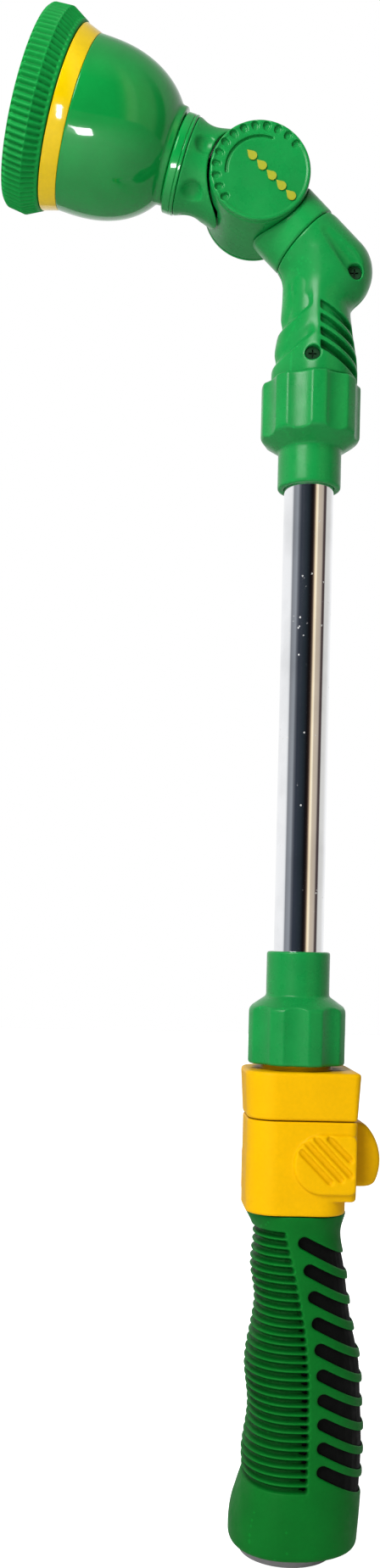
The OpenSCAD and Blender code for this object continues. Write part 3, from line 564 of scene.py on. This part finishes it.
def elbow_shell(name, side):
    """Front half for side -1 and rear half for side 1."""
    s = Space((-14.5, -15 if side < 0 else -1, 374.5), (21, 1 if side < 0 else 15, 429), 0.27)
    foot = span("elbow_shell_front")[0][2]
    from_upper_screw = np.hypot(s.x - UPPER_SCREW[0], s.z - UPPER_SCREW[1])
    body, arm, past = elbow_form(s)
    body = both(body, SEAM - past, 0.5)
    body = both(body, foot - s.z, 0.8)
    # hollow arm with a boss for the upper screw, and the neck's bore
    hollow = np.maximum(np.maximum(arm + 2, SEAM + 2 - past), -7.8 - s.y)
    body = without(body, both(hollow, 5 - from_upper_screw, 0.3), 0.3)
    body = without(body, both(np.hypot(s.x - ELBOW_X, s.y) - 8.65, s.z - 401.5, 0.1), 0.2)
    body = without(body, np.hypot(s.x, s.y) - 7.05 + np.clip(s.z - NECK_TOP, 0, None), 0.2)
    for i in range(ELBOW_SLOTS):
        body = without(body, elbow_slot(s, i), 0.35)
    if side < 0:
        scoop = rod((s.x, s.y, s.z), arm_point(28.0, 3.2, -14.0), arm_point(41.5, 2.6, -13.6), 2.5, 4.2)
        body = without(body, scoop, 0.9)
        for x, z, seat in (LOWER_SCREW, UPPER_SCREW):
            hole = np.hypot(s.x - x, s.z - z)
            body = without(body, both(hole - 2.4, s.y - seat, 0.2), 0.35)
            body = without(body, both(hole - 1.2, s.y + 0.1, 0.1), 0.1)
    else:
        body = without(body, both(from_upper_screw - 1.2, s.y - 5.3, 0.1), 0.1)
    body = both(body, side * -s.y + 0.03, 0.35)
    return s.solid(name, body)


# ---------------------------------------------------------------- coupling nuts and tube

NUT_R, COLLAR_R, SCALLOPS = 16, 10.2, 8
SCALLOP_DEPTH, SCALLOP_R = 1.15, 12


def coupling_nut(name, node, body, cone, turn, upside_down):
    """Scalloped nut of height body, then a cone and a collar that reach the node's end."""
    low, high = span(node)
    total = high[2] - low[2]
    s = Space((-17, -17, -1), (17, 17, total + 1), 0.25)
    r = np.hypot(s.x, s.y)
    slope = (NUT_R - COLLAR_R - 0.5) / cone
    grip = both(r - NUT_R, (r - NUT_R + (s.z - body) * slope) / math.hypot(1, slope), 0.9)
    far = NUT_R - SCALLOP_DEPTH + SCALLOP_R
    for i in range(SCALLOPS):
        a = math.radians(360 * i / SCALLOPS)
        grip = without(grip, np.hypot(s.x - far * math.cos(a), s.y - far * math.sin(a)) - SCALLOP_R, 0.2)
    nut = either(grip, both(r - COLLAR_R, s.z - total, 1.0), 0.5)
    nut = both(nut, -s.z, 1.1)
    nut = both(nut, s.z - total, 1.2)
    nut = without(nut, both(r - 12.1, s.z - 16.1, 0.2), 0.3)
    nut = without(nut, r - 8.08, 0.8)
    base = Matrix.Translation(Vector((0, 0, high[2] if upside_down else low[2])) * MM)
    if upside_down:
        base = base @ Matrix.Scale(-1, 4, (0, 0, 1))
    place = base @ Matrix.Rotation(math.radians(turn), 4, "Z")
    made = s.solid(name, nut, place)
    if upside_down:
        made.data.flip_normals()
    stand_in(made, node)


def wand_tube():
    """Tube of radius 8 with a flare at both ends."""
    low, high = span("wand_tube")[0][2], span("wand_tube")[1][2]
    flare = 1.35
    outline = rounded(
        [(7.2, low), (11, low), (11, low + flare), (8, low + flare, 0.5),
         (8, high - flare, 0.5), (11, high - flare), (11, high), (7.2, high)],
        0.3)
    stand_in(turned("wand_tube_drawn", outline, Matrix.Identity(4), 256), "wand_tube")


# ---------------------------------------------------------------- thumb valve

LEVER_HALF = 6.4
CHEEK_X, CHEEK_Z, CHEEK_R = 7.3, 126.5, 9.4


def plan(s, left, right, half, soft, sharp):
    """Distance to the housing's outline seen from above, with the soft corners on the left."""
    middle = (left + right) / 2
    corner = np.where(s.x < middle, soft, sharp)
    dx = np.abs(s.x - middle) - (right - left) / 2 + corner
    dy = np.abs(s.y) - half + corner
    return np.minimum(np.maximum(dx, dy), 0) + np.hypot(np.clip(dx, 0, None), np.clip(dy, 0, None)) - corner


def valve_housing():
    """Box on a narrower foot, with a grooved cheek on each side and the lever's pocket."""
    top = span("valve_housing")[1][2]
    grooves = (((0.1, 130.6), (9.3, 121.3)), ((1.6, 133.5), (12.7, 122.1)),
               ((4.8, 134.7), (15.6, 123.5)), ((9.0, 134.7), (15.5, 128.3)))
    groove_y, groove_r = 17.4, 1.0
    s = Space((-18, -19, 108.5), (20, 19, 141), 0.3)
    house = both(plan(s, -16.2, 18, 16, 9.5, 2.2), np.abs(s.z - 127) - (top - 127), 0.45)
    house = both(house, 114.2 - s.z, 2.2)
    foot = both(plan(s, -16.2, 15.6, 16, 9.5, 9), np.abs(s.z - 119) - 8.95, 0.8)
    house = either(house, foot, 0.5)
    cheek = np.hypot(np.clip(CHEEK_X - s.x, 0, None), s.z - CHEEK_Z) - CHEEK_R
    cheek = both(cheek, s.x - 17.6, 2.5)
    house = either(house, both(cheek, np.abs(s.y) - 17.45, 0.9), 0.6)
    for (x0, z0), (x1, z1) in grooves:
        cut = rod((s.x, np.abs(s.y), s.z), (x0, groove_y, z0), (x1, groove_y, z1), groove_r)
        house = without(house, cut, 0.25)
    house = without(house, both(np.hypot(s.x, s.y) - 12.7, 109 - s.z, 0.1), 0.2)
    pocket = both(np.abs(s.y) - LEVER_HALF - 0.5, np.maximum(5 - s.x, 111.5 - s.z), 0.5)
    house = without(house, pocket, 0.5)
    stand_in(s.solid("valve_housing_moulding", house), "valve_housing")


def valve_cap():
    """Upper part of the housing, leaning in from its top edge down to the seam."""
    seam, top = 139.84, 155.2
    s = Space((-19, -19, 138), (21, 19, 157), 0.3)
    lean = 0.062 * (top - s.z)
    cap = both(plan(s, -17.2, 18.9, 16.6, 10, 2.4) + lean, np.abs(s.z - 147.52) - 7.68, 1.3)
    cap = both(cap, seam - s.z, 0.35)
    cap = without(cap, both(np.hypot(s.x, s.y) - 12.6, s.z - 147, 0.1), 0.2)
    cap = without(cap, np.hypot(s.x, s.y) - 7.2, 0.2)
    return stand_in(s.solid("valve_cap_moulding", cap), "valve_cap")


def cap_threads(cap):
    """Spigot with four thread rings inside the lower nut; it belongs to the cap."""
    pitch, first = 2.3, 156.4
    corners = [(7.2, 155.0), (11.9, 155.0)]
    for i in range(4):
        base = first + pitch * i
        corners += [(11.2, base), (12.0, base + 0.7), (12.0, base + 1.1), (11.2, base + 1.8)]
    corners += [(11.2, 170.5), (10.8, 172.3), (7.2, 172.3)]
    threads = turned("valve_cap_threads", rounded(corners, 0.2), Matrix.Identity(4), 128)
    threads.data.materials.append(finish_of["yellow_plastic"])
    threads.parent = cap


def thumb_lever():
    """Sector that the thumb pushes, with its hub, web and the crank that moves the spool."""
    low, high = span("lever_shaft")
    shaft = (low + high) / 2
    crank_a, crank_reach = math.radians(195), 4.3
    s = Space((10, -8, 106), (29, 8, 142), 0.22)
    dx, dz = s.x - shaft[0], s.z - shaft[2]
    lever = both(np.hypot(dx, dz) - 16.3, np.abs(s.y) - LEVER_HALF, 2.2)
    lever = both(lever, dz - 12.4, 1.5)
    lever = both(lever, -8.4 - dz, 2.2)
    lever = both(lever, 5.4 - dx, 0.5)
    hub = both(np.hypot(dx, dz) - 3.4, np.abs(s.y) - 4.0, 0.5)
    web = both(np.maximum(np.abs(dx - 3.5) - 3.6, np.abs(dz) - 2.6), np.abs(s.y) - 4.0, 0.3)
    lever = either(lever, either(hub, web, 0.3), 0.6)
    lever = without(lever, np.hypot(dx, dz) - 1.5, 0.1)
    crank_end = (crank_reach * math.cos(crank_a), 0, crank_reach * math.sin(crank_a))
    crank = rod((dx, s.y, dz), (0, 0, 0), crank_end, 1.25)
    lever = either(lever, both(crank, np.abs(s.y) - 1.4, 0.3), 0.3)
    stand_in(s.solid("thumb_lever_moulding", lever), "thumb_lever")


# ---------------------------------------------------------------- grip

# half sizes at each height, as in the design
FINGER = ((3.4, 18.7), (10, 18.6), (15, 17.9), (20, 16.4), (25, 15), (32, 15.2), (46, 13.5),
          (61, 14.8), (80, 12.1), (92, 13.6), (104, 13), (110, 15.8))
PALM = ((3.4, 22.4), (16, 23.4), (35, 24.3), (51, 23.6), (62, 22.9), (76, 19.8), (92, 17.5),
        (103, 15.4), (110, 17))
WIDTH = ((3.4, 20.4), (16, 19.8), (35, 18), (62, 17.2), (80, 15.6), (92, 15.2), (103, 14.6), (110, 16))
POWER = 2 / 0.9
SLOTS, SLOT_PITCH, SLOT_FIRST, SLOT_W = 10, 8.5, 102.35, 3.9
GRIP_RIB_TOP, GRIP_RIB_BOTTOM, GRIP_RIB_PITCH, GRIP_RIB_DEPTH = 103.8, 24.6, 2.7, 1.8
WALL, WALL_THINNING = 2.35, 1.65


def smooth_curve(knots, z):
    """Cubic through [z, value] knots, the same as the design's own."""
    knots = np.array(knots, float)
    z = z.ravel()
    i = np.clip(np.searchsorted(knots[:, 0], z, "right") - 1, 0, len(knots) - 2)
    order = np.arange(len(knots))
    before, after = knots[np.maximum(order - 1, 0)], knots[np.minimum(order + 1, len(knots) - 1)]
    slope = (after[:, 1] - before[:, 1]) / (after[:, 0] - before[:, 0])
    h = knots[i + 1, 0] - knots[i, 0]
    t = (z - knots[i, 0]) / h
    value = ((2 * t ** 3 - 3 * t ** 2 + 1) * knots[i, 1] + (t ** 3 - 2 * t ** 2 + t) * slope[i] * h
             + (3 * t ** 2 - 2 * t ** 3) * knots[i + 1, 1] + (t ** 3 - t ** 2) * slope[i + 1] * h)
    return value.astype(np.float32)[None, None, :]


def grip_ribs(s):
    """Depth of the grooves between the ribs on the finger side, which end on a bowed line."""
    bow = np.interp(s.z.ravel(), [24, 40, 60, 75, 90, 104], [4.2, 4.6, 4.3, 2.8, -0.2, -3.6])
    bow = bow.astype(np.float32)[None, None, :]
    phase = (GRIP_RIB_TOP - s.z) / GRIP_RIB_PITCH
    wave = np.clip(0.5 + 0.85 * np.cos(2 * math.pi * phase) + 0.2, 0, 1)
    inside = np.clip((bow - s.x) / 0.6, 0, 1) * np.clip((GRIP_RIB_TOP + 0.9 - s.z) / 0.3, 0, 1)
    inside = inside * np.clip((s.z - GRIP_RIB_BOTTOM + 1.0) / 0.3, 0, 1)
    return GRIP_RIB_DEPTH * wave * inside


def grip_slot(s, index):
    """One of the slanting slots on the palm side; the lower ones start further right."""
    start = 0.4 + 6.9 * (1 - (1 - min(1, index / 7)) ** 2)
    dx, dz = s.x - start, s.z - (SLOT_FIRST - SLOT_PITCH * index + 0.08 * index * (index - 1))
    along = dx * math.cos(SLOT_SLOPE) - dz * math.sin(SLOT_SLOPE)
    above = dx * math.sin(SLOT_SLOPE) + dz * math.cos(SLOT_SLOPE)
    return np.hypot(np.clip(SLOT_W / 2 - along, 0, None), above) - SLOT_W / 2


def grip_sleeve():
    """Soft sleeve whose wall thins towards the palm, with ribs, slots and rounded ends."""
    low, high = span("grip_sleeve")
    s = Space((-20.5, -22, 1.5), (26, 22, 112), 0.3)
    finger, palm, width = (smooth_curve(k, s.z) for k in (FINGER, PALM, WIDTH))
    reach = np.where(s.x < 0, finger, palm)
    level = ((np.abs(s.x) / reach) ** POWER + (np.abs(s.y) / width) ** POWER) ** (1 / POWER)
    size = np.hypot(s.x, s.y) / np.maximum(level, 0.05)
    skin = (level - 1) * np.clip(size, 8, 26) * 0.97
    grip = skin + grip_ribs(s)
    grip = both(grip, low[2] - s.z, 2.2)
    grip = both(grip, s.z - high[2], 0.7)
    palmward = np.clip(s.x / reach / np.maximum(level, 0.05), 0, 1)
    grip = without(grip, both(skin + WALL - WALL_THINNING * palmward, 7.9 - s.z, 0.3), 0.3)
    grip = without(grip, both(np.hypot(s.x, s.y) - 15.05, s.z - 10, 0.2), 0.4)
    for i in range(SLOTS):
        grip = without(grip, grip_slot(s, i), 0.7)
    stand_in(s.solid("grip_sleeve_moulding", grip), "grip_sleeve")


# ---------------------------------------------------------------- the wand

dial_ring()
band = yellow_band()
bowl = head_bowl()
collar = neck_collar()
head_neck()
pivot_cover()
pivot_drum()
knuckle()
stand_in(elbow_shell("elbow_front_moulding", -1), "elbow_shell_front")
stand_in(elbow_shell("elbow_rear_moulding", 1), "elbow_shell_rear")
coupling_nut("lower_nut_moulding", "lower_nut", 17.8, 3.7, 37, False)
coupling_nut("upper_nut_moulding", "upper_nut", 17.6, 3.5, 24.6, True)
wand_tube()
valve_housing()
cap_threads(valve_cap())
thumb_lever()
grip_sleeve()

# ---------------------------------------------------------------- studio


def area(name, place, target, size, power, mirrored=True, spread=True, only=None):
    """Soft light. Glossy rays see it if mirrored, diffuse rays if spread; it may reach only
    one collection of pieces."""
    light = bpy.data.lights.new(name, "AREA")
    light.shape, light.size, light.size_y = "RECTANGLE", size[0], size[1]
    light.energy = power
    made = bpy.data.objects.new(name, light)
    made.location = place
    made.rotation_euler = (Vector(target) - Vector(place)).to_track_quat("-Z", "Y").to_euler()
    made.visible_camera = False
    made.visible_glossy, made.visible_diffuse = mirrored, spread
    if only:
        made.light_linking.receiver_collection = only
    bpy.context.collection.objects.link(made)


def gathered(name, *pieces):
    """Collection of the pieces that a light reaches."""
    made = bpy.data.collections.new(name)
    for piece in pieces:
        made.objects.link(piece)
    return made


# azimuth in degrees from the front, and the colour that the tube mirrors there
STUDIO_BANDS = (
    (-180, (0.95, 0.95, 0.95)), (-92, (0.9, 0.9, 0.9)), (-84, (0.75, 0.76, 0.77)),
    (-78, (0.24, 0.25, 0.27)), (-56, (0.3, 0.32, 0.35)), (-48, (0.12, 0.13, 0.15)),
    (-38, (0.035, 0.042, 0.058)), (-10, (0.02, 0.028, 0.036)), (8, (0.006, 0.005, 0.006)),
    (18, (0.02, 0.012, 0.01)), (24, (0.2, 0.14, 0.1)), (30, (1.0, 0.82, 0.55)),
    (37, (1.0, 0.9, 0.7)), (41, (0.6, 0.5, 0.38)), (62, (0.5, 0.43, 0.36)),
    (70, (0.07, 0.05, 0.05)), (80, (0.07, 0.05, 0.05)), (86, (0.66, 0.65, 0.62)),
    (110, (0.72, 0.71, 0.69)), (140, (0.95, 0.95, 0.95)),
)


def band_colours(nodes, links, azimuth):
    """Colour ramp of the studio's bands over the azimuth, from -pi to pi."""
    scale = nodes.new("ShaderNodeMapRange")
    scale.inputs["From Min"].default_value = -math.pi
    scale.inputs["From Max"].default_value = math.pi
    links.new(azimuth, scale.inputs["Value"])
    ramp = nodes.new("ShaderNodeValToRGB")
    links.new(scale.outputs[0], ramp.inputs["Fac"])
    elements = ramp.color_ramp.elements
    for i, (angle, colour) in enumerate(STUDIO_BANDS):
        spot = (angle + 180) / 360
        if i < 2:
            element = elements[i]
            element.position = spot
        else:
            element = elements.new(spot)
        element.color = (*colour, 1)
    return ramp.outputs["Color"]


def studio_world():
    """Even pale room for the eye; for the light, a studio with dark front and bright sides."""
    world = bpy.data.worlds.new("studio")
    bpy.context.scene.world = world
    world.use_nodes = True
    nodes, links = world.node_tree.nodes, world.node_tree.links
    nodes.clear()
    way = nodes.new("ShaderNodeTexCoord").outputs["Generated"]
    parts = nodes.new("ShaderNodeSeparateXYZ")
    links.new(way, parts.inputs[0])
    back = nodes.new("ShaderNodeMath")
    back.operation = "MULTIPLY"
    back.inputs[1].default_value = -1
    links.new(parts.outputs["Y"], back.inputs[0])
    azimuth = nodes.new("ShaderNodeMath")
    azimuth.operation = "ARCTAN2"
    links.new(parts.outputs["X"], azimuth.inputs[0])
    links.new(back.outputs[0], azimuth.inputs[1])
    bands = band_colours(nodes, links, azimuth.outputs[0])
    # above and below, the bands melt into soft light
    steep = nodes.new("ShaderNodeMapRange")
    steep.inputs["From Min"].default_value, steep.inputs["From Max"].default_value = 0.55, 0.9
    lift = nodes.new("ShaderNodeMath")
    lift.operation = "ABSOLUTE"
    links.new(parts.outputs["Z"], lift.inputs[0])
    links.new(lift.outputs[0], steep.inputs["Value"])
    melt = nodes.new("ShaderNodeMix")
    melt.data_type = "RGBA"
    links.new(steep.outputs[0], melt.inputs[0])
    links.new(bands, melt.inputs[6])
    melt.inputs[7].default_value = (0.4, 0.4, 0.4, 1)
    lit, seen, fill = (nodes.new("ShaderNodeBackground") for _ in range(3))
    links.new(melt.outputs[2], lit.inputs["Color"])
    seen.inputs["Color"].default_value = (1, 1, 1, 1)
    fill.inputs["Color"].default_value = (0.24, 0.24, 0.24, 1)
    ray = nodes.new("ShaderNodeLightPath").outputs
    soft, pick = nodes.new("ShaderNodeMixShader"), nodes.new("ShaderNodeMixShader")
    links.new(ray["Is Diffuse Ray"], soft.inputs[0])
    links.new(lit.outputs[0], soft.inputs[1])
    links.new(fill.outputs[0], soft.inputs[2])
    links.new(ray["Is Camera Ray"], pick.inputs[0])
    links.new(soft.outputs[0], pick.inputs[1])
    links.new(seen.outputs[0], pick.inputs[2])
    links.new(pick.outputs[0], nodes.new("ShaderNodeOutputWorld").inputs["Surface"])


def pale_floor():
    """Floor just under the wand's foot, glowing for the camera so that it melts into the room."""
    half, z = 2.5, -0.0005
    corners = [(-half, -half, z), (half, -half, z), (half, half, z), (-half, half, z)]
    mesh = bpy.data.meshes.new("floor")
    mesh.from_pydata(corners, [], [(0, 1, 2, 3)])
    floor = bpy.data.objects.new("floor", mesh)
    bpy.context.collection.objects.link(floor)
    t = Tree("pale_floor")
    t.put(t.shader.inputs["Base Color"], t.mix(t.noise(3, 3), (0.93, 0.93, 0.93, 1), (0.97, 0.97, 0.97, 1)))
    t.put(t.shader.inputs["Roughness"], t.spread(t.noise(8, 2), 0.7, 0.8))
    t.shader.inputs["Emission Color"].default_value = (1, 1, 1, 1)
    t.put(t.shader.inputs["Emission Strength"], t.node("ShaderNodeLightPath").outputs["Is Camera Ray"])
    mesh.materials.append(t.material)


def front_camera():
    camera = bpy.data.cameras.new("camera")
    camera.sensor_width, camera.lens = 36, 32.2916
    camera.shift_x, camera.shift_y = 0.03, 0.0949
    camera.clip_start, camera.clip_end = 0.01, 50
    eye = bpy.data.objects.new("camera", camera)
    eye.matrix_world = Matrix((
        (0.999547, -0.022914, -0.019516, -0.059458),
        (-0.019595, -0.003250, -0.999803, -0.455101),
        (0.022846, 0.999732, -0.003698, 0.196233),
        (0, 0, 0, 1)))
    bpy.context.collection.objects.link(eye)
    bpy.context.scene.camera = eye


studio_world()
area("softbox", (-0.224, -0.526, 0.116), (-0.075, -0.022, 0.444), (0.13, 0.08), 2.2, spread=False,
     only=gathered("glossy_head", bowl, collar))
area("band_softbox", (0.063, -0.494, 0.203), (-0.083, -0.024, 0.449), (0.04, 0.14), 1.4, spread=False,
     only=gathered("bright_band", band))
area("key", (-0.5, -0.68, 0.86), (0, 0, 0.36), (0.5, 0.42), 8.5)
area("front", (-0.55, -0.8, 0.75), (0, 0, 0.3), (0.7, 0.8), 1.8, mirrored=False)
area("front_low", (-0.45, -0.7, 0.1), (0, 0, 0.42), (0.4, 0.4), 2.2, mirrored=False)
pale_floor()
front_camera()
bpy.context.scene.view_settings.view_transform = "Standard"
